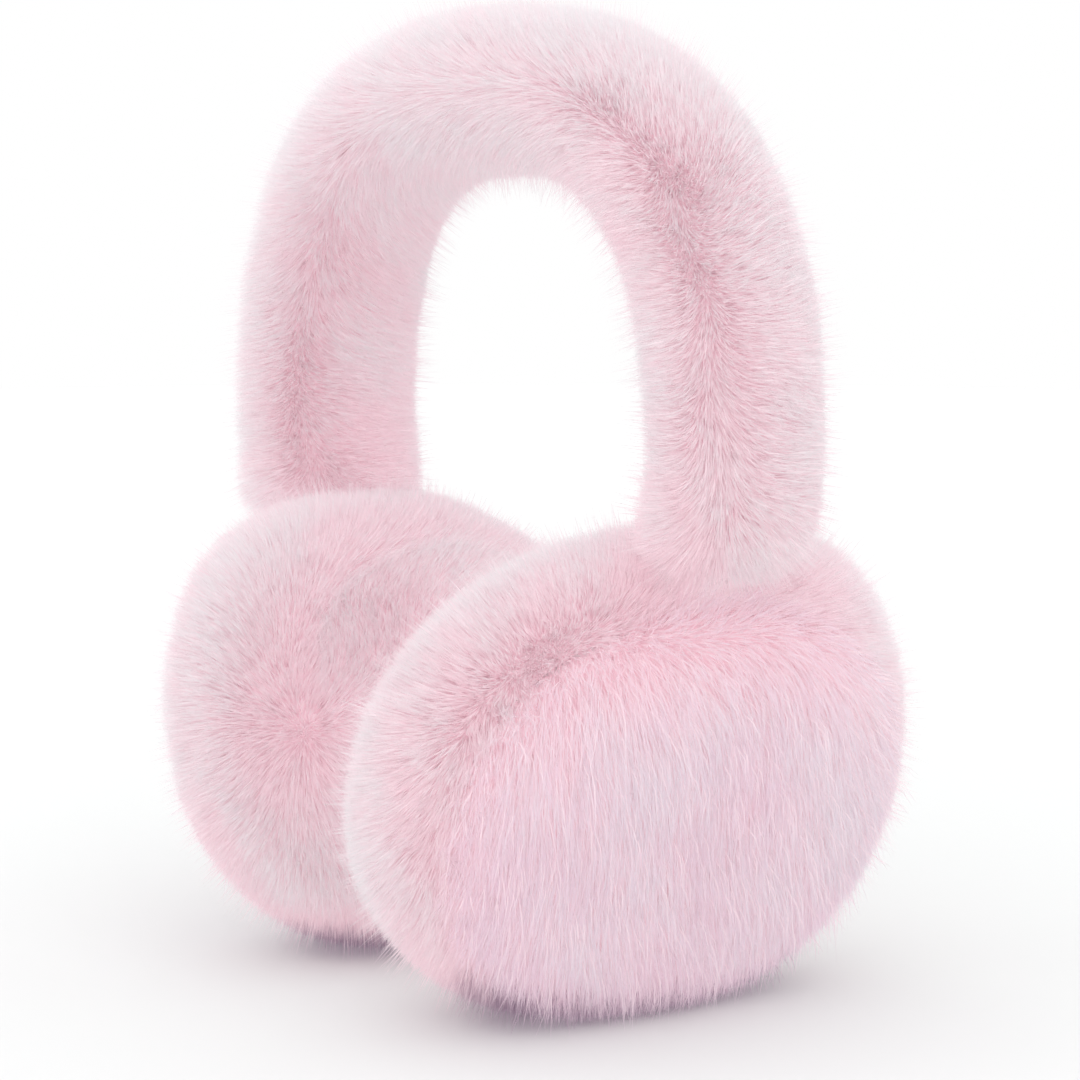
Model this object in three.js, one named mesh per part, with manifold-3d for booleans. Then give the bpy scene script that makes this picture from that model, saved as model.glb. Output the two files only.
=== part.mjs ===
// Fur earmuffs standing on their two ear cups: a round fur headband over a pair of oval, stuffed cups.
// Millimetres, +Z up, +X to the wearer's left cup, -Y to the front. The origin is on the surface that
// the cups stand on, midway between them. Every solid is the outer form of its fur.

import * as THREE from "three";
import { mergeVertices } from "three/addons/utils/BufferGeometryUtils.js";
import Module from "manifold-3d";

// Whole object
const OVERALL_HEIGHT = 215;
const GAP = 0.35; // clearance between neighbouring pieces

// Headband: a fur sleeve over a spring, sewn closed along the front
const BAND = {
  legX: 76, // centre of each leg from the middle
  archZ: 118, // height at which the legs turn into the arch
  archSquareness: 2.5, // exponent of the arch's superellipse; 2 is an ellipse
  halfDepth: 21.3, // half the sleeve's width, front to back
  halfThickness: 17, // half the sleeve's width, inside to outside
  tuckZ: 122, // below this height the legs lean in towards the cups
  footZ: 84, // height of the legs' ends, buried in the cups
  footLean: 21, // how far the ends have leant in
  taperZ: 113, // below this height the sleeve narrows
  footTaper: 0.82, // how far it has narrowed at its ends, from 0 to 1
  seamAngle: 33, // degrees from straight forward, turning outwards
  seamDepth: 1.8,
  seamSpread: 26, // degrees either side over which the seam's dent fades
  sectionPoints: 28,
  steps: 46,
};

// Ear cup: an oval cushion of three panels, on an axis that runs through the ear
const CUP = {
  x: 43, // middle of each cup
  z: 52.8,
  faceDepth: 33, // from the middle out to the outer face
  padDepth: 30, // from the middle in to the ear pad
  halfWidth: 66.8, // front to back
  halfHeight: 56.6,
  outline: 2.15, // exponent of the oval's superellipse; 2 is an ellipse
  faceFullness: 2.4, // the same across the cup, from the rim to the outer face
  padFullness: 2.2, // and from the rim to the ear pad
  sag: 0.06, // how much thicker the cup is at the bottom than at half height
  tilt: 17, // degrees that the outer face looks down
  swivel: 9, // degrees that the outer face turns to the front
  faceSeam: 0.845, // radius of the outer face's seam, as a share of the cup's
  padSeam: 0.68, // the same of the ear pad's seam
  seamDepth: 2.2,
  seamSpread: 0.45, // share of a panel's width over which the dent at its seam fades
  sectors: 44,
};
const PANEL_STEPS = { outer_face: 8, side_band: 16, ear_pad: 8, whole: 24 };

const FLOOR_BLOCK = 400; // side of a cube that holds the object

// Fur colours, by panel
const COLORS = { headband: 0xf1d5dc, outer_face: 0xecccd8, side_band: 0xf0d0d8, ear_pad: 0xf3cdd4 };
const FUR = { roughness: 0.95, metalness: 0 };

const wasm = await Module();
wasm.setup();

const radians = THREE.MathUtils.degToRad;

// A point on the unit superellipse of this exponent, for an angle from 0 to 90 degrees.
const superellipse = (angle, exponent) => [Math.cos(angle) ** (2 / exponent), Math.sin(angle) ** (2 / exponent)];

// Solids and meshes

function solidOf(geometry, matrix) {
  const bare = geometry.clone();
  if (matrix) bare.applyMatrix4(matrix);
  bare.deleteAttribute("normal");
  bare.deleteAttribute("uv");
  const merged = mergeVertices(bare, 1e-4);
  const vertProperties = new Float32Array(merged.attributes.position.array);
  const triVerts = new Uint32Array(merged.index.array);
  return new wasm.Manifold(new wasm.Mesh({ numProp: 3, vertProperties, triVerts }));
}

function furMesh(name, panel, solid) {
  const { vertProperties, triVerts } = solid.getMesh();
  const geometry = new THREE.BufferGeometry();
  geometry.setAttribute("position", new THREE.BufferAttribute(vertProperties, 3));
  geometry.setIndex(new THREE.BufferAttribute(triVerts, 1));
  geometry.computeVertexNormals();
  const mesh = new THREE.Mesh(geometry, new THREE.MeshStandardMaterial({ ...FUR, color: COLORS[panel] }));
  mesh.name = name;
  return mesh;
}

// Moves each vertex of a geometry by a function of its place.
function reshape(geometry, move) {
  const { position } = geometry.attributes;
  const point = new THREE.Vector3();
  for (let i = 0; i < position.count; i++) {
    move(point.fromBufferAttribute(position, i));
    position.setXYZ(i, ...point);
  }
  return geometry;
}

// Ear cups

// A panel's edges are angles along the cup's outline: 0 is the rim, 90 degrees the middle of the
// outer face and -90 degrees the middle of the ear pad.
const seamAngle = (share, fullness) => Math.acos(share ** (fullness / 2));
const FACE_SEAM = seamAngle(CUP.faceSeam, CUP.faceFullness);
const PAD_SEAM = -seamAngle(CUP.padSeam, CUP.padFullness);
const PANEL_EDGES = {
  outer_face: [FACE_SEAM, Math.PI / 2],
  side_band: [PAD_SEAM, FACE_SEAM],
  ear_pad: [-Math.PI / 2, PAD_SEAM],
  whole: [-Math.PI / 2, Math.PI / 2],
};

// The outline at an angle, as its share of the cup's radius and its distance along the axis.
function outlinePoint(angle, grow) {
  const outward = angle >= 0;
  const [radial, axial] = superellipse(Math.abs(angle), outward ? CUP.faceFullness : CUP.padFullness);
  const depth = (outward ? CUP.faceDepth : -CUP.padDepth) + Math.sign(angle) * grow;
  return new THREE.Vector2(radial * (1 + grow / CUP.halfHeight), axial * depth);
}

function panelProfile(panel, grow) {
  const [from, to] = PANEL_EDGES[panel];
  const seamBefore = from > -Math.PI / 2;
  const seamAfter = to < Math.PI / 2;
  const points = [];
  for (let i = 0; i <= PANEL_STEPS[panel]; i++) {
    const t = i / PANEL_STEPS[panel];
    const nearness = Math.max(
      seamBefore ? 1 - t / CUP.seamSpread : 0,
      seamAfter ? 1 - (1 - t) / CUP.seamSpread : 0,
      0,
    );
    points.push(outlinePoint(from + (to - from) * t, grow - CUP.seamDepth * nearness ** 2));
  }
  // Each panel has a flat back at its seam, half a gap short of its neighbour's.
  if (seamBefore) points.unshift(new THREE.Vector2(0, (points[0].y = outlinePoint(from, 0).y + GAP / 2)));
  if (seamAfter) points.push(new THREE.Vector2(0, (points.at(-1).y = outlinePoint(to, 0).y - GAP / 2)));
  points[0].x = 0;
  points.at(-1).x = 0;
  return points;
}

// A panel round the cup's axis, which is X, with the outer face towards the cup's own side.
function panelGeometry(panel, side, grow = 0) {
  const geometry = new THREE.LatheGeometry(panelProfile(panel, grow), CUP.sectors);
  geometry.rotateZ((-side * Math.PI) / 2);
  return reshape(geometry, (point) => {
    const angle = Math.atan2(point.z, point.y);
    const reach = (Math.abs(Math.cos(angle)) ** CUP.outline + Math.abs(Math.sin(angle)) ** CUP.outline) ** (-1 / CUP.outline);
    point.x *= 1 - CUP.sag * point.z;
    point.y *= reach * CUP.halfWidth;
    point.z *= reach * CUP.halfHeight;
  });
}

function earCup(word, side) {
  const cup = new THREE.Group();
  cup.position.set(side * CUP.x, 0, CUP.z);
  cup.rotation.set(0, side * radians(CUP.tilt), -side * radians(CUP.swivel), "ZYX");
  cup.userData.side = side;
  cup.updateMatrixWorld();

  // The cup is pressed flat where it stands.
  const aboveFloor = new THREE.BoxGeometry(FLOOR_BLOCK, FLOOR_BLOCK, FLOOR_BLOCK).translate(0, 0, FLOOR_BLOCK / 2);
  const keep = solidOf(aboveFloor, cup.matrixWorld.clone().invert());
  for (const panel of ["outer_face", "side_band", "ear_pad"]) {
    cup.add(furMesh(`${word}_${panel}`, panel, solidOf(panelGeometry(panel, side)).intersect(keep)));
  }
  return cup;
}

// Headband

// The sleeve's centre line in the XZ plane, from one foot up over the head to the other.
class BandCurve extends THREE.Curve {
  legShare = 0.3; // of the curve's parameter, for each leg

  getPoint(t, target = new THREE.Vector3()) {
    const fromTop = Math.abs(2 * t - 1);
    const side = t < 0.5 ? -1 : 1;
    const archShare = 1 - this.legShare;
    if (fromTop <= archShare) {
      const rise = OVERALL_HEIGHT - BAND.halfThickness - BAND.archZ;
      const [across, up] = superellipse((1 - fromTop / archShare) * (Math.PI / 2), BAND.archSquareness);
      return target.set(side * BAND.legX * across, 0, BAND.archZ + rise * up);
    }
    const down = (fromTop - archShare) / this.legShare;
    const z = THREE.MathUtils.lerp(BAND.archZ, BAND.footZ, down);
    return target.set(side * legCentre(z), 0, z);
  }
}

function legCentre(z) {
  const lean = Math.max(0, (BAND.tuckZ - z) / (BAND.tuckZ - BAND.footZ));
  return BAND.legX - BAND.footLean * lean ** 2;
}

// An oval whose X runs to the front and whose Y runs to the inside of the band, dented at the seam.
function sleeveSection() {
  const turn = 2 * Math.PI;
  const points = [];
  for (let i = 0; i < BAND.sectionPoints; i++) {
    const angle = (i / BAND.sectionPoints) * turn;
    const fromSeam = Math.abs(THREE.MathUtils.euclideanModulo(angle + radians(BAND.seamAngle) + Math.PI, turn) - Math.PI);
    const dent = BAND.seamDepth * Math.max(0, 1 - fromSeam / radians(BAND.seamSpread)) ** 2;
    const [front, inside] = [BAND.halfDepth - dent, BAND.halfThickness - dent];
    points.push(new THREE.Vector2(front * Math.cos(angle), inside * Math.sin(angle)));
  }
  return new THREE.Shape(points);
}

function headband(cups) {
  const sleeve = new THREE.ExtrudeGeometry(sleeveSection(), { steps: BAND.steps, extrudePath: new BandCurve() });
  reshape(sleeve, (point) => {
    const low = THREE.MathUtils.clamp((BAND.taperZ - point.z) / (BAND.taperZ - BAND.footZ), 0, 1);
    const width = Math.sqrt(1 - BAND.footTaper * low ** 2);
    const centre = Math.sign(point.x) * legCentre(point.z);
    point.x = low > 0 ? centre + (point.x - centre) * width : point.x;
    point.y *= width;
  });
  const solid = cups.reduce(
    (rest, cup) => rest.subtract(solidOf(panelGeometry("whole", cup.userData.side, GAP), cup.matrixWorld)),
    solidOf(sleeve),
  );
  return furMesh("headband", "headband", solid);
}

const cups = [earCup("left", 1), earCup("right", -1)];
const earmuffs = new THREE.Group();
earmuffs.add(headband(cups), ...cups);

export default earmuffs;
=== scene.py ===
"""Plush fur earmuffs: a furry headband over two stuffed ear cups, grown strand by strand on its backing.

Metres, +Z up, +X to the wearer's left cup, -Y to the front, as the CAD frame has it.
"""
import math
from functools import partial

import bmesh
import bpy
import numpy as np
from mathutils import Matrix, Vector


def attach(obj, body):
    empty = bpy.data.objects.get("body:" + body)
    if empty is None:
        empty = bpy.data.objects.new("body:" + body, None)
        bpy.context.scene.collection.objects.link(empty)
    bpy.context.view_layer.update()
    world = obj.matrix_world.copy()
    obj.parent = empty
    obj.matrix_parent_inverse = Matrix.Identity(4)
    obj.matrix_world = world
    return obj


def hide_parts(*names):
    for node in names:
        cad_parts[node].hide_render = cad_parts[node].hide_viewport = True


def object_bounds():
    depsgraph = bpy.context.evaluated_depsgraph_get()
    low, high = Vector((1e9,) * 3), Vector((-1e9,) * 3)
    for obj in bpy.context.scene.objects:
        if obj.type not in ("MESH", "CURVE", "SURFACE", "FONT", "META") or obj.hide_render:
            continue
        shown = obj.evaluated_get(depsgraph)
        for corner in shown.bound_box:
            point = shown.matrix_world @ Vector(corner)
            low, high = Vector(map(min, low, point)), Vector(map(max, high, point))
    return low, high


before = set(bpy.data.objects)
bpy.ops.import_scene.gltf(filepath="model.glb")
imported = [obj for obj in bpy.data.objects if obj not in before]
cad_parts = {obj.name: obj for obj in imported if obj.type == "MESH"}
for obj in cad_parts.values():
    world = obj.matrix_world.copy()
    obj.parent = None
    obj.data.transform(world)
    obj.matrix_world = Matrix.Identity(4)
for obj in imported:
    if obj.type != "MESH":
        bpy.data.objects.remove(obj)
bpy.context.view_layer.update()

MM = 0.001
TURN = 2 * math.pi
PANELS = ("outer_face", "side_band", "ear_pad")
SIDES = {"left": 1, "right": -1}

# The cups' form: an oval cushion of three panels on an axis through the ear.
CUP_X = 43 * MM
CUP_Z = 52.8 * MM
FACE_DEPTH = 33 * MM
PAD_DEPTH = 30 * MM
HALF_WIDTH = 66.8 * MM
HALF_HEIGHT = 56.6 * MM
OVAL = 2.15
FACE_FULLNESS = 2.4
PAD_FULLNESS = 2.2
SAG = 0.06
TILT = math.radians(17)
SWIVEL = math.radians(9)
FACE_SEAM = math.acos(0.845 ** (FACE_FULLNESS / 2))
PAD_SEAM = -math.acos(0.68 ** (PAD_FULLNESS / 2))
POLE = math.pi / 2
PANEL_EDGES = {
    "outer_face": (FACE_SEAM, POLE),
    "side_band": (PAD_SEAM, FACE_SEAM),
    "ear_pad": (-POLE, PAD_SEAM),
}

# The headband's form: an oval sleeve on a squared arch, sewn along its front outer corner.
BAND_X = 76 * MM
ARCH_Z = 118 * MM
BAND_TOP_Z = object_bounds()[1][2]
HALF_DEPTH = 21.3 * MM
HALF_THICKNESS = 17 * MM
ARCH_SQUARENESS = 2.5
TUCK_Z = 122 * MM
FOOT_Z = 84 * MM
FOOT_LEAN = 21 * MM
TAPER_Z = 113 * MM
FOOT_TAPER = 0.82
BAND_SEAM = math.radians(33)
LEG_SHARE = 0.18

# The coat, in millimetres: pile is how far the backing lies under the fur's surface, run how far a strand
# leans, width how broad it is at its root, area the square millimetres for each strand, and tuft how far
# neighbouring tips draw together. Curved strands bend over, and the others are straight.
COATS = {
    "headband": dict(pile=5.2, run=2.5, width=0.34, area=0.132, tuft=0.20, curved=False),
    "outer_face": dict(pile=6.5, run=12.0, width=0.33, area=0.28, tuft=0.34, curved=True),
    "side_band": dict(pile=6.5, run=2.6, width=0.34, area=0.138, tuft=0.22, curved=False),
    "ear_pad": dict(pile=6.0, run=3.0, width=0.34, area=0.140, tuft=0.24, curved=False),
}
GUARD_SHARE = 0.08
GUARD_LENGTH = 8.0 * MM
FLOOR_CLEARANCE = 0.4 * MM
BACKING_CLEARANCE = 3.0 * MM
BACKING_SLACK = 0.3 * MM
SEED = 20

# Places on the left cup, in metres: its fuller shoulder and the end of the headband's leg in its fur.
SHOULDER = np.array([0.055, 0.036, 0.096])
LEG_END = np.array([0.075, -0.004, 0.094])
# The star-shaped parting on the right ear pad, which the left pad mirrors.
STAR = Vector((-0.019, -0.042, 0.056))

# Heights on the headband, in metres: its fur starts at FUR_FROM_Z and falls over the cups below FALL_Z,
# and its backing sinks into them below SINK_Z. From PARTING_Z up to PARTING_END_Z the parting closes.
FUR_FROM_Z = 0.097
FALL_Z = 0.116
SINK_Z = 0.107
PARTING_Z = 0.160
PARTING_END_Z = 0.195
# Up to this height the fur is painted darker mauve, a painted contact shadow where it meets the floor.
FLOOR_SHADE_Z = 20 * MM

ROOT_PINK = (0.975, 0.79, 0.84, 1)
MIDDLE_PINK = (0.97, 0.845, 0.88, 1)
TIP_PINK = (0.96, 0.80, 0.845, 1)
TIP_WHITE = (0.885, 0.89, 0.90, 1)
LILAC_TIP = (0.90, 0.76, 0.84, 1)
LILAC_WHITE = (0.875, 0.855, 0.90, 1)
# Painted contact shadow: the mauve that fur by the floor turns to, and the tone below which it shows.
FLOOR_SHADE_MAUVE = (0.50, 0.38, 0.48, 1)
FLOOR_SHADE_TONE = 0.3


# Numbers and vectors

def unit(vectors):
    return vectors / np.maximum(np.linalg.norm(vectors, axis=-1, keepdims=True), 1e-12)


def dot(a, b):
    return np.sum(a * b, axis=-1, keepdims=True)


def flatten(vectors, normals):
    """The vectors laid into the planes across the normals, one long."""
    return unit(vectors - normals * dot(vectors, normals))


def bell(distance, width):
    return np.exp(-((distance / width) ** 2))


def drift(points, size, seed):
    """A smooth random vector at each point, which changes over about this size."""
    draw = np.random.default_rng(seed)
    total = np.zeros_like(points)
    waves = 12
    for _ in range(waves):
        wave = draw.normal(size=3) * (2.2 / size)
        push = draw.normal(size=3)
        total += np.sin(points @ wave + draw.uniform(0, TURN))[:, None] * push
    return total * math.sqrt(2 / waves)


# Forms: each takes arrays of two surface numbers and gives points, in the row frame

def turned(side):
    return np.array(Matrix.Rotation(-side * SWIVEL, 3, "Z") @ Matrix.Rotation(side * TILT, 3, "Y"))


def cup_centre(side):
    return np.array([side * CUP_X, 0, CUP_Z])


def cup_form(side):
    turn = turned(side)

    def form(angle, around):
        outward = angle >= 0
        power = 2 / np.where(outward, FACE_FULLNESS, PAD_FULLNESS)
        depth = np.where(outward, FACE_DEPTH, -PAD_DEPTH)
        radial = np.maximum(np.cos(angle), 0) ** power
        axial = np.abs(np.sin(angle)) ** power * depth
        y, z = np.cos(around), np.sin(around)
        reach = (np.abs(y) ** OVAL + np.abs(z) ** OVAL) ** (-1 / OVAL)
        local = np.stack([
            side * axial * (1 - SAG * radial * z),
            radial * reach * y * HALF_WIDTH,
            radial * reach * z * HALF_HEIGHT,
        ], axis=-1)
        return local @ turn.T + cup_centre(side)

    return form


def cup_depth(points, side):
    """How deep points lie in a cup: 1 on its form and less inside it."""
    local = (points - cup_centre(side)) @ turned(side)
    oval = np.abs(local[:, 1] / HALF_WIDTH) ** OVAL + np.abs(local[:, 2] / HALF_HEIGHT) ** OVAL
    outward = local[:, 0] * side >= 0
    fullness = np.where(outward, FACE_FULLNESS, PAD_FULLNESS)
    depth = np.where(outward, FACE_DEPTH, PAD_DEPTH)
    return oval ** (fullness / OVAL) + np.abs(local[:, 0] / depth) ** fullness


def leg_centre(z):
    return BAND_X - FOOT_LEAN * np.maximum(0, (TUCK_Z - z) / (TUCK_Z - FOOT_Z)) ** 2


def leg_width(z):
    """The sleeve's width at a height, as a share of its full width."""
    low = np.clip((TAPER_Z - z) / (TAPER_Z - FOOT_Z), 0, 1)
    return np.sqrt(1 - FOOT_TAPER * low ** 2)


def band_line(along):
    """The sleeve's centre line, from the right foot (0) over the head to the left foot (1)."""
    from_top = np.abs(2 * along - 1)
    side = np.where(along < 0.5, -1.0, 1.0)
    arch = np.clip((1 - from_top / (1 - LEG_SHARE)) * math.pi / 2, 0, math.pi / 2)
    rise = BAND_TOP_Z - HALF_THICKNESS - ARCH_Z
    power = 2 / ARCH_SQUARENESS
    down = np.clip((from_top - (1 - LEG_SHARE)) / LEG_SHARE, 0, 1)
    leg_z = ARCH_Z + (FOOT_Z - ARCH_Z) * down
    z = np.where(down > 0, leg_z, ARCH_Z + rise * np.sin(arch) ** power)
    x = leg_centre(z) - BAND_X * (1 - np.maximum(np.cos(arch), 0) ** power)
    return np.stack([side * x, np.zeros_like(x), z], axis=-1)


def band_form(along, turn):
    """turn is the angle round the section, from straight forward towards the outside."""
    step = 2e-3
    middle = band_line(along)
    heading = unit(band_line(along + step) - band_line(along - step))
    outside = np.stack([-heading[..., 2], np.zeros_like(along), heading[..., 0]], axis=-1)
    width = leg_width(middle[..., 2])[..., None]
    front = np.array([0, -1, 0])
    return middle + width * (
        HALF_DEPTH * np.cos(turn)[..., None] * front + HALF_THICKNESS * np.sin(turn)[..., None] * outside
    )


def surface(form, u, v):
    """Points of a form with its outward normals and the unit directions in which u and v grow."""
    step = 1e-3
    along_u = unit(form(u + step, v) - form(u - step, v))
    along_v = unit(form(u, v + step) - form(u, v - step))
    return form(u, v), unit(np.cross(along_u, along_v)), along_u, along_v


def outward_sign(normals, spread):
    """1 where a form's normals point along the spread from its middle, and -1 where they point inwards."""
    return float(np.sign(np.mean(dot(normals, spread))))


# Backing: the cloth that the strands grow from

def mesh_object(name, mesh):
    piece = bpy.data.objects.new(name, mesh)
    bpy.context.scene.collection.objects.link(piece)
    return piece


def backing(name, form, u_range, v_range, steps, depth, flip):
    """A closed shell at a depth under a form, over a range of u and all the way round in v."""
    bm = bmesh.new()
    bmesh.ops.create_grid(bm, x_segments=steps[0], y_segments=steps[1], size=0.5)
    flat = np.array([v.co for v in bm.verts])
    u = u_range[0] + (u_range[1] - u_range[0]) * (flat[:, 0] + 0.5)
    v = v_range[0] + (v_range[1] - v_range[0]) * (flat[:, 1] + 0.5)
    margin = 2e-3
    points, normals, _, _ = surface(form, np.clip(u, u_range[0] + margin, u_range[1] - margin), v)
    points = points - flip * normals * np.reshape(depth(points) + BACKING_SLACK, (-1, 1))
    points[:, 2] = np.maximum(points[:, 2], BACKING_CLEARANCE)
    for vert, place in zip(bm.verts, points):
        vert.co = place
    bmesh.ops.remove_doubles(bm, verts=bm.verts, dist=0.6 * MM)
    rim = [edge for edge in bm.edges if edge.is_boundary]
    bmesh.ops.holes_fill(bm, edges=rim, sides=0)
    bmesh.ops.triangulate(bm, faces=[face for face in bm.faces if len(face.verts) > 4])
    bmesh.ops.recalc_face_normals(bm, faces=bm.faces)
    for face in bm.faces:
        face.smooth = True
    mesh = bpy.data.meshes.new(name)
    bm.to_mesh(mesh)
    bm.free()
    return mesh_object(name, mesh)


# Strands

def scatter(form, u_range, v_range, area, rng):
    """Random places on a form, one for each area."""
    rows, columns = 160, 320
    u_edge = np.linspace(*u_range, rows + 1)
    v_edge = np.linspace(*v_range, columns + 1)
    grid = form(*np.meshgrid(u_edge, v_edge, indexing="ij"))
    sides = grid[1:, :-1] - grid[:-1, :-1], grid[:-1, 1:] - grid[:-1, :-1]
    cell = np.linalg.norm(np.cross(*sides), axis=-1).ravel()
    count = int(cell.sum() / area)
    chosen = rng.choice(cell.size, size=count, p=cell / cell.sum())
    row, column = np.divmod(chosen, columns)
    u = u_edge[0] + (row + rng.random(count)) * (u_edge[1] - u_edge[0])
    v = v_edge[0] + (column + rng.random(count)) * (v_edge[1] - v_edge[0])
    return u, v


def gather_tufts(roots, tips, size, pull, seed):
    """Draws the tips of neighbouring strands together."""
    cell = np.floor((roots + drift(roots, 2.5 * size, seed) * 0.6 * size) / size).astype(np.int64)
    key = (cell[:, 0] * 4001 + cell[:, 1]) * 4001 + cell[:, 2]
    _, tuft = np.unique(key, return_inverse=True)
    count = np.bincount(tuft)
    offset = tips - roots
    mean = np.stack([np.bincount(tuft, tips[:, axis]) / count for axis in range(3)], axis=-1)
    reach = np.stack([np.bincount(tuft, offset[:, axis]) / count for axis in range(3)], axis=-1)
    together = 0.65 * mean[tuft] + 0.35 * (roots + reach[tuft])
    return tips + (together - tips) * pull


def strand_mesh(name, points, faces, heights, tones):
    """One mesh of strands with the same few faces each.

    points has each strand's corners. Its map has tone across and length up.
    """
    count, corners = points.shape[:2]
    sizes = [len(face) for face in faces]
    order = np.concatenate([np.array(face) for face in faces])
    points[..., 2] = np.maximum(points[..., 2], FLOOR_CLEARANCE)
    mesh = bpy.data.meshes.new(name)
    mesh.vertices.add(count * corners)
    mesh.vertices.foreach_set("co", points.astype(np.float32).ravel())
    mesh.loops.add(count * len(order))
    loops = np.arange(count)[:, None] * corners + order
    mesh.loops.foreach_set("vertex_index", loops.astype(np.int32).ravel())
    mesh.polygons.add(count * len(faces))
    starts = np.arange(count)[:, None] * len(order) + np.cumsum([0] + sizes[:-1])
    mesh.polygons.foreach_set("loop_start", starts.astype(np.int32).ravel())
    mesh.polygons.foreach_set("use_smooth", np.ones(count * len(faces), dtype=bool))
    half = 0.02  # of a strand's width on its map
    corner = np.arange(corners)
    sideways = np.where(corner == corners - 1, 0, np.where(corner % 2, half, -half))
    chart = np.empty((count, len(order), 2), dtype=np.float32)
    chart[..., 0] = np.clip(tones, half, 1 - half)[:, None] + sideways[order]
    chart[..., 1] = np.array(heights)[order]
    mesh.uv_layers.new(name="OFBake").data.foreach_set("uv", chart.ravel())
    mesh.update(calc_edges=True)
    return mesh_object(name, mesh)


def grow(name, coat, forms, normals, combs, pile, extra, tones, rng):
    """Strands under the points of a form, leaning along the combs.

    pile is how deep their roots lie, and extra how far they grow past the form.
    """
    count = len(forms)
    run = coat["run"] * MM * rng.uniform(0.7, 1.25, count)
    rise = pile * rng.uniform(0.80, 1.06, count) + extra
    guard = rng.random(count) < GUARD_SHARE
    rise += guard * GUARD_LENGTH * rng.random(count)
    roots = forms - normals * pile[:, None]
    roots[:, 2] = np.maximum(roots[:, 2], BACKING_CLEARANCE)
    across_fur = combs + 0.22 * rng.normal(size=(count, 3))
    lean = across_fur - normals * dot(across_fur, normals)
    tips = roots + normals * rise[:, None] + lean * run[:, None]
    tips = gather_tufts(roots, tips, 2.2 * MM, coat["tuft"], SEED + 3)
    tips += rng.normal(size=(count, 3)) * 0.35 * MM
    widths = coat["width"] * MM * rng.uniform(0.65, 1.25, count) * np.where(guard, 0.7, 1.0)
    facing = unit(normals + 0.6 * rng.normal(size=(count, 3)))
    across = unit(np.cross(tips - roots, facing)) * widths[:, None] / 2
    if not coat["curved"]:
        points = np.stack([roots - across, roots + across, tips], axis=1)
        return strand_mesh(name, points, [(0, 1, 2)], (0.01, 0.01, 0.99), tones)
    knees = roots + normals * (rise * 0.8)[:, None] + lean * (run * 0.4)[:, None]
    middles = 0.25 * roots + 0.5 * knees + 0.25 * tips
    waist = 0.75 * across
    points = np.stack([roots - across, roots + across, middles - waist, middles + waist, tips], axis=1)
    return strand_mesh(name, points, [(0, 1, 3, 2), (2, 3, 4)], (0.01, 0.01, 0.5, 0.5, 0.99), tones)


def tone_of(points, tint, rng):
    """How pale each strand is, up to 1: its panel's tint, soft patches, tufts and its own chance.

    Near the floor the tone falls towards 0, and the lowest tones paint the fur mauve, a painted contact
    shadow.
    """
    patches = 0.07 * drift(points, 16 * MM, SEED + 5)[:, 0] + 0.05 * drift(points, 4 * MM, SEED + 6)[:, 0]
    tones = np.clip(tint + patches + rng.normal(size=len(points)) * 0.11, FLOOR_SHADE_TONE + 0.02, 1)
    # Painted contact shadow: tones fall towards 0 near the floor.
    return tones * np.clip(points[:, 2] / FLOOR_SHADE_Z, 0, 1) ** 1.5


def downwards(normals):
    return flatten(np.tile([0.0, 0.0, -1.0], (len(normals), 1)) + 1e-6, normals)


def cup_combs(panel, side, points, normals, along_u, angle):
    """How a cup's fur lies: down the face, away from the side's seams, and out of a star on the pad."""
    down = downwards(normals)
    swirl = drift(points, 22 * MM, SEED + 1)
    if panel == "outer_face":
        share = np.cos(angle)[:, None]
        combed = flatten(down - 0.45 * share ** 2 * along_u + 0.10 * swirl, normals)
        return combed * np.clip((angle - FACE_SEAM) / 0.25, 0.3, 1)[:, None]
    star = points - np.array([STAR.x * -side, STAR.y, STAR.z])
    spread = 2.5 * bell(np.linalg.norm(star, axis=1, keepdims=True), 18 * MM) * unit(star)
    if panel == "ear_pad":
        return 0.3 * down + 0.6 * along_u + spread + 0.4 * swirl
    share = ((angle - PAD_SEAM) / (FACE_SEAM - PAD_SEAM))[:, None]
    away = (0.6 * np.cos(math.pi * share) + bell(share - 1, 0.12) - bell(share, 0.12)) * along_u
    ruffled = 0.3 * drift(points, 4 * MM, SEED + 8) * bell(share - 1, 0.35)
    return away + 0.35 * down + spread + 0.35 * swirl + ruffled


def cup_pile(panel, points):
    """How deep a cup's backing lies; the right cup's top is flatter."""
    flat = np.clip((points[:, 2] - 0.086) / 0.014, 0, 1) * (points[:, 0] < 0)
    return (COATS[panel]["pile"] + 2.2 * flat) * MM


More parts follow.
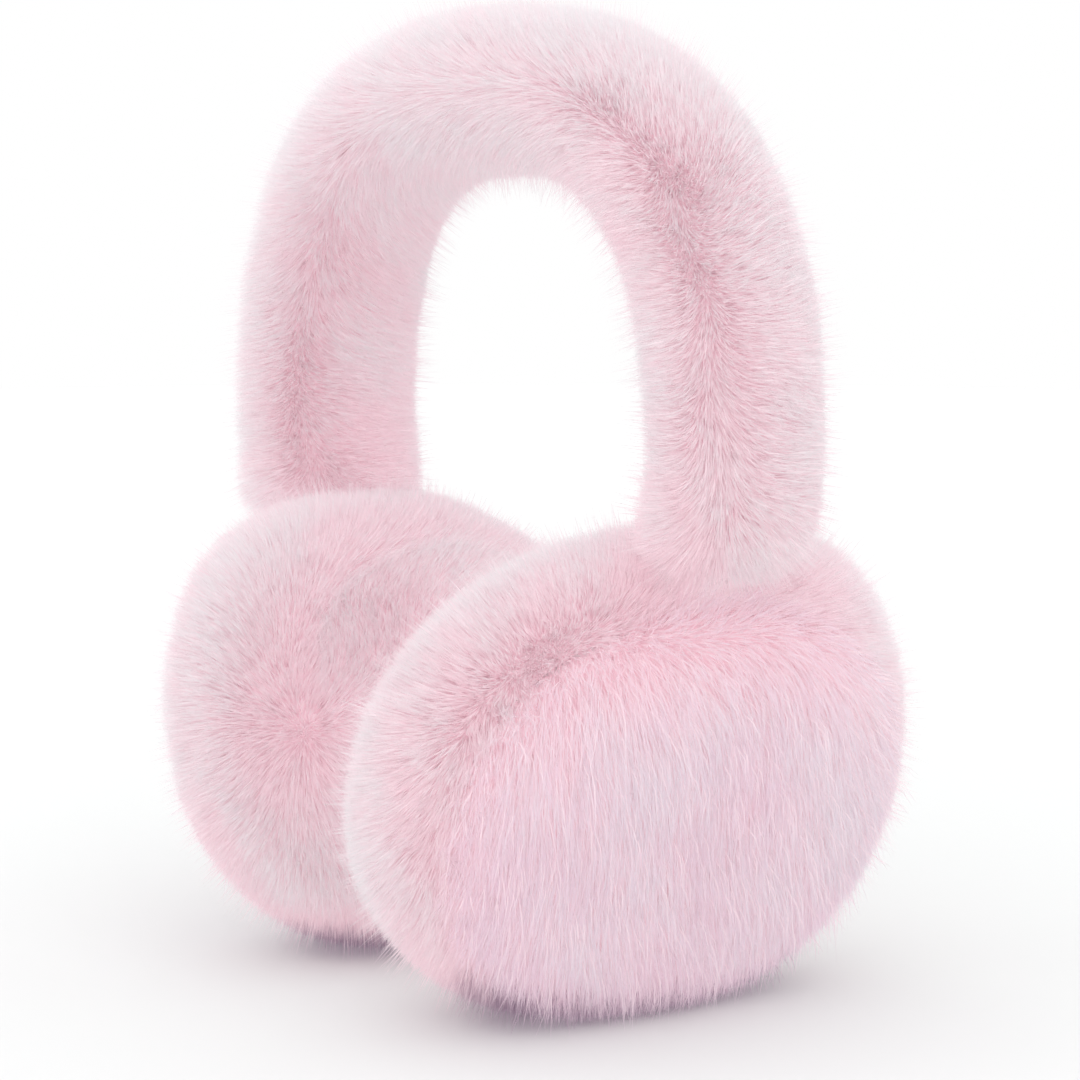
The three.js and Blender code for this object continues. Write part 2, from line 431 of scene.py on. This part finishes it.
def cup_fur(word, panel):
    side = SIDES[word]
    coat = COATS[panel]
    rng = np.random.default_rng(SEED + PANELS.index(panel) + 10 * (side + 1))
    form = cup_form(side)
    angle, around = scatter(form, PANEL_EDGES[panel], (0, TURN), coat["area"] * MM ** 2, rng)
    points, normals, along_u, _ = surface(form, angle, around)
    normals = normals * outward_sign(normals, points - cup_centre(side))
    shown = (points[:, 2] > -3 * MM) & ~in_leg(points - normals * 5 * MM)
    points, normals, along_u, angle = points[shown], normals[shown], along_u[shown], angle[shown]
    combs = cup_combs(panel, side, points, normals, along_u, angle)
    full = (5.0 + 1.0 * side) * bell(np.linalg.norm(points - SHOULDER * (side, side, 1), axis=1), 22 * MM)
    pile = cup_pile(panel, points)
    by_leg = bell(np.linalg.norm((points - LEG_END * (side, 1, 1)) * (1, 0.6, 1), axis=1), 13 * MM)
    # Millimetres past the form: fuller on one shoulder and by the headband's leg, and shorter at the back.
    growth = full + 5.0 * by_leg + 0.6 - 0.6 * normals[:, 1] - 3.2 * np.clip(normals[:, 1], 0, 1)
    combs += 0.5 * by_leg[:, None] * (np.array([0, 0, 1]) - combs)
    extra = growth * MM - (pile - coat["pile"] * MM)
    across = (angle - PANEL_EDGES[panel][0]) / (PANEL_EDGES[panel][1] - PANEL_EDGES[panel][0])
    towards_back = np.clip(points[:, 1] / 0.05, 0, 1)
    tint = {
        "outer_face": 0.40 + 0.26 * np.clip(across / 0.45, 0, 1) + 0.32 * towards_back,
        "side_band": 0.57 + 0.30 * bell(across - 0.45, 0.28),
        "ear_pad": 0.80,
    }[panel]
    tones = tone_of(points, tint - 0.2 * by_leg, rng)
    return grow(f"{word}_{panel}_fur", coat, points, normals, combs, pile, extra, tones, rng)


def in_leg(points):
    """Whether points lie well inside the headband's legs."""
    centre = leg_centre(points[:, 2])
    width = leg_width(points[:, 2])
    across = (np.abs(points[:, 0]) - centre) / (HALF_THICKNESS - 6 * MM) / width
    along = points[:, 1] / (HALF_DEPTH - 6 * MM) / width
    return (across ** 2 + along ** 2 < 1) & (points[:, 2] > FOOT_Z)


def band_pile(points):
    """How deep the headband's backing lies; its feet taper away inside the cups' fur."""
    low = np.clip((SINK_Z - points[:, 2]) / 0.012, 0, 1)
    return (COATS["headband"]["pile"] + 8 * low) * MM


def band_fur(part, along_range, rng):
    coat = COATS["headband"]
    along, turn = scatter(band_form, along_range, (0, TURN), coat["area"] * MM ** 2, rng)
    points, normals, heading, around = surface(band_form, along, turn)
    normals = normals * outward_sign(normals, points - band_line(along))
    roots = points - normals * 4 * MM
    outside_cups = (cup_depth(roots, 1) > 0.95) & (cup_depth(roots, -1) > 0.95)
    shown = outside_cups & (points[:, 2] > FUR_FROM_Z)
    points, normals, heading, around, turn = (a[shown] for a in (points, normals, heading, around, turn))
    from_seam = (turn - BAND_SEAM + math.pi) % TURN - math.pi
    height = points[:, 2]
    over = math.pi * np.clip((height - PARTING_Z) / (PARTING_END_Z - PARTING_Z), 0, 1) * (from_seam > 0)
    beside = np.clip(np.abs(from_seam) / 0.5, 0, 1)
    outwards = np.where(from_seam > 0, np.cos(over), -1) * beside
    falling = -heading * np.sign(heading[:, 2:3]) * np.clip(np.abs(points[:, :1]) / 0.030, 0, 1)
    steep = np.clip((height - 0.110) / 0.030, 0, 1) * (1 - normals[:, 2] ** 2)
    down = downwards(normals) * steep[:, None]
    swirl = drift(points, 20 * MM, SEED + 2)
    low = np.clip((FALL_Z - height) / 0.016, 0, 1)[:, None]
    combs = outwards[:, None] * around * (1 - 0.7 * low) + 0.6 * np.sin(over)[:, None] * falling
    combs += 0.35 * down + 0.3 * swirl + 1.2 * low * downwards(normals)
    combs += 1.3 * (1 - beside)[:, None] * falling
    # Millimetres past the form: fuller on the right, in front and on top, and shorter at the legs' ends.
    growth = 0.9 - 1.8 * points[:, 0] / BAND_X - 2.0 * normals[:, 1] + 3.2 * np.clip(normals[:, 2], 0, 1)
    above_end = np.clip((height - FUR_FROM_Z) / 0.010, 0, 1)
    front_right = (points[:, 0] < 0) * np.clip(-normals[:, 0] - normals[:, 1], 0, 1)
    growth += 4.5 * low[:, 0] * above_end * front_right
    growth -= 2.5 * (1 - above_end)
    extra = growth * MM
    inside = np.clip(-np.sin(turn), 0, 1)
    rosy = 0.18 * bell(from_seam, 0.4) * np.clip((0.175 - height) / 0.02, 0, 1)
    outside = np.clip(normals[:, 0] * np.sign(points[:, 0]), 0, 1)
    tones = tone_of(points, 0.82 + 0.10 * outside - 0.20 * inside - rosy - 0.12 * low[:, 0], rng)
    return grow(f"headband_fur_{part}", coat, points, normals, combs, band_pile(points), extra, tones, rng)


# Materials

def ramp(tree, stops, source):
    """A colour between two stops, each a position and its colour."""
    made = tree.nodes.new("ShaderNodeValToRGB")
    for element, (position, color) in zip(made.color_ramp.elements, stops):
        element.position, element.color = position, color
    tree.links.new(source, made.inputs["Fac"])
    return made.outputs["Color"]


def strand_tint_group():
    """Colour, roughness and crimp along a strand, from the strands' own map: tone across and length up."""
    group = bpy.data.node_groups.new("strand tint", "ShaderNodeTree")
    # The last input is the painted contact shadow colour for fur at the floor.
    for name in ("Root", "Middle", "Tip", "Pale Tip", "Floor Shade"):
        group.interface.new_socket(name, in_out="INPUT", socket_type="NodeSocketColor")
    group.interface.new_socket("Color", in_out="OUTPUT", socket_type="NodeSocketColor")
    group.interface.new_socket("Roughness", in_out="OUTPUT", socket_type="NodeSocketFloat")
    group.interface.new_socket("Height", in_out="OUTPUT", socket_type="NodeSocketFloat")
    links = group.links
    given = group.nodes.new("NodeGroupInput")
    result = group.nodes.new("NodeGroupOutput")
    chart = group.nodes.new("ShaderNodeUVMap")
    chart.uv_map = "OFBake"
    parts = group.nodes.new("ShaderNodeSeparateXYZ")
    links.new(chart.outputs["UV"], parts.inputs["Vector"])

    def blend(fac, a, b):
        mix = group.nodes.new("ShaderNodeMix")
        mix.data_type = "RGBA"
        links.new(fac, mix.inputs["Factor"])
        links.new(a, mix.inputs["A"])
        links.new(b, mix.inputs["B"])
        return mix.outputs["Result"]

    def between(low, high, source):
        part = group.nodes.new("ShaderNodeMapRange")
        part.interpolation_type = "SMOOTHSTEP"
        part.inputs["From Min"].default_value = low
        part.inputs["From Max"].default_value = high
        links.new(source, part.inputs["Value"])
        return part.outputs["Result"]

    length = parts.outputs["Y"]
    tone = parts.outputs["X"]
    tip = blend(between(FLOOR_SHADE_TONE, 1.0, tone), given.outputs["Tip"], given.outputs["Pale Tip"])
    lower = blend(between(0.0, 0.5, length), given.outputs["Root"], given.outputs["Middle"])
    color = blend(between(0.4, 0.95, length), lower, tip)
    # Painted contact shadow: the lowest tones blend to the mauve shade colour.
    color = blend(between(0.0, FLOOR_SHADE_TONE, tone), given.outputs["Floor Shade"], color)
    links.new(color, result.inputs["Color"])
    crimp = group.nodes.new("ShaderNodeTexNoise")
    crimp.inputs["Scale"].default_value = 40
    crimp.inputs["Detail"].default_value = 1
    links.new(chart.outputs["UV"], crimp.inputs["Vector"])
    links.new(crimp.outputs["Fac"], result.inputs["Height"])
    sleek = group.nodes.new("ShaderNodeMapRange")
    sleek.inputs["To Min"].default_value = 0.85
    sleek.inputs["To Max"].default_value = 0.55
    links.new(length, sleek.inputs["Value"])
    links.new(sleek.outputs["Result"], result.inputs["Roughness"])
    return group


def fur_material(name, group, tip, pale):
    material = bpy.data.materials.new(name)
    material.use_nodes = True
    tree = material.node_tree
    tree.nodes.clear()
    output = tree.nodes.new("ShaderNodeOutputMaterial")
    tint = tree.nodes.new("ShaderNodeGroup")
    tint.node_tree = group
    # The last colour is the painted contact shadow for fur by the floor.
    colors = {"Root": ROOT_PINK, "Middle": MIDDLE_PINK, "Tip": tip, "Pale Tip": pale, "Floor Shade": FLOOR_SHADE_MAUVE}
    for socket, color in colors.items():
        tint.inputs[socket].default_value = color
    hair = tree.nodes.new("ShaderNodeBsdfPrincipled")
    hair.inputs["Specular IOR Level"].default_value = 0.25
    through = tree.nodes.new("ShaderNodeBsdfTranslucent")
    share = tree.nodes.new("ShaderNodeMixShader")
    share.inputs["Fac"].default_value = 0.5
    tree.links.new(tint.outputs["Color"], hair.inputs["Base Color"])
    tree.links.new(tint.outputs["Roughness"], hair.inputs["Roughness"])
    bump = tree.nodes.new("ShaderNodeBump")
    bump.inputs["Strength"].default_value = 0.3
    bump.inputs["Distance"].default_value = 0.0001
    tree.links.new(tint.outputs["Height"], bump.inputs["Height"])
    tree.links.new(bump.outputs["Normal"], hair.inputs["Normal"])
    tree.links.new(tint.outputs["Color"], through.inputs["Color"])
    tree.links.new(hair.outputs["BSDF"], share.inputs[1])
    tree.links.new(through.outputs["BSDF"], share.inputs[2])
    tree.links.new(share.outputs["Shader"], output.inputs["Surface"])
    return material


def backing_material():
    """Knitted backing cloth, rosy, with a fine mesh of loops."""
    material = bpy.data.materials.new("knitted backing cloth")
    material.use_nodes = True
    tree = material.node_tree
    cloth = tree.nodes["Principled BSDF"]
    place = tree.nodes.new("ShaderNodeTexCoord")
    knit = tree.nodes.new("ShaderNodeTexNoise")
    knit.inputs["Scale"].default_value = 900
    knit.inputs["Detail"].default_value = 2
    tree.links.new(place.outputs["Object"], knit.inputs["Vector"])
    color = ramp(tree, [(0.3, ROOT_PINK), (0.7, MIDDLE_PINK)], knit.outputs["Fac"])
    tree.links.new(color, cloth.inputs["Base Color"])
    cloth.inputs["Roughness"].default_value = 0.9
    bump = tree.nodes.new("ShaderNodeBump")
    bump.inputs["Strength"].default_value = 0.4
    bump.inputs["Distance"].default_value = 0.0003
    tree.links.new(knit.outputs["Fac"], bump.inputs["Height"])
    tree.links.new(bump.outputs["Normal"], cloth.inputs["Normal"])
    return material


# Pieces

def fit_out(piece, node_name, material):
    piece.data.materials.append(material)
    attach(piece, "root")
    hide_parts(node_name)
    return piece


def make_cups(cloth, furs):
    steps = {"outer_face": (14, 64), "side_band": (30, 64), "ear_pad": (12, 64)}
    for word, side in SIDES.items():
        form = cup_form(side)
        point, normal, _, _ = surface(form, np.array([0.5]), np.array([0.5]))
        flip = outward_sign(normal, point - cup_centre(side))
        for panel in PANELS:
            name = f"{word}_{panel}"
            depth = partial(cup_pile, panel)
            edges = PANEL_EDGES[panel]
            shell = backing(f"{name}_backing", form, edges, (0, TURN), steps[panel], depth, flip)
            fit_out(shell, name, cloth)
            fit_out(cup_fur(word, panel), name, furs[panel])


def make_headband(cloth, fur):
    point, normal, _, _ = surface(band_form, np.array([0.5]), np.array([0.5]))
    flip = outward_sign(normal, point - band_line(np.array([0.5])))
    sleeve = backing("headband_backing", band_form, (0.0, 1.0), (0, TURN), (110, 40), band_pile, flip)
    fit_out(sleeve, "headband", cloth)
    rng = np.random.default_rng(SEED)
    for part, along_range in (("right", (0.0, 0.5)), ("left", (0.5, 1.0))):
        fit_out(band_fur(part, along_range, rng), "headband", fur)


# Studio

def make_camera():
    turn, lift = math.radians(52.26), math.radians(7.25)
    distance = 0.5905
    aim_height, aim_right = 0.09837, 0.00525
    back = Vector((math.sin(turn) * math.cos(lift), -math.cos(turn) * math.cos(lift), math.sin(lift)))
    right = Vector((math.cos(turn), math.sin(turn), 0))
    up = back.cross(right)
    aim = Vector((0, 0, aim_height)) + right * aim_right
    camera = bpy.data.objects.new("camera", bpy.data.cameras.new("camera"))
    bpy.context.scene.collection.objects.link(camera)
    facing = Matrix((right, up, back)).transposed().to_4x4()
    camera.matrix_world = Matrix.Translation(aim + back * distance) @ facing
    camera.data.sensor_width = 36
    camera.data.lens = 86.42
    camera.data.clip_start = 0.02
    camera.data.clip_end = 20
    bpy.context.scene.camera = camera


def soft_sun(name, aim_from, spread, strength):
    lamp = bpy.data.lights.new(name, "SUN")
    lamp.angle = math.radians(spread)
    lamp.energy = strength
    light = bpy.data.objects.new(name, lamp)
    light.rotation_euler = Vector(aim_from).to_track_quat("Z", "Y").to_euler()
    bpy.context.scene.collection.objects.link(light)


def make_studio():
    scene = bpy.context.scene
    scene.view_settings.view_transform = "Standard"
    scene.cycles.use_fast_gi = True
    scene.cycles.ao_bounces_render = 2
    world = bpy.data.worlds.new("studio")
    world.use_nodes = True
    surround = world.node_tree.nodes["Background"]
    surround.inputs["Color"].default_value = (1, 1, 1, 1)
    surround.inputs["Strength"].default_value = 1.0
    world.light_settings.distance = 0.38 * MM
    scene.world = world
    soft_sun("overhead softbox", (0.05, -0.1, 1), 110, 0.85)
    soft_sun("front softbox", (0.5, -0.75, 0.65), 110, 0.75)
    bm = bmesh.new()
    bmesh.ops.create_circle(bm, cap_ends=True, segments=64, radius=2)
    mesh = bpy.data.meshes.new("floor")
    bm.to_mesh(mesh)
    bm.free()
    floor = mesh_object("floor", mesh)
    paint = bpy.data.materials.new("white floor")
    paint.use_nodes = True
    matt = paint.node_tree.nodes["Principled BSDF"]
    matt.inputs["Base Color"].default_value = (0.72, 0.73, 0.728, 1)
    matt.inputs["Roughness"].default_value = 0.9
    matt.inputs["Specular IOR Level"].default_value = 0.0
    floor.data.materials.append(paint)


make_camera()
make_studio()
cloth = backing_material()
tint = strand_tint_group()
make_headband(cloth, fur_material("headband fur", tint, TIP_PINK, TIP_WHITE))
make_cups(cloth, {
    "outer_face": fur_material("face fur", tint, LILAC_TIP, LILAC_WHITE),
    "side_band": fur_material("side fur", tint, TIP_PINK, TIP_WHITE),
    "ear_pad": fur_material("pad fur", tint, TIP_PINK, TIP_WHITE),
})
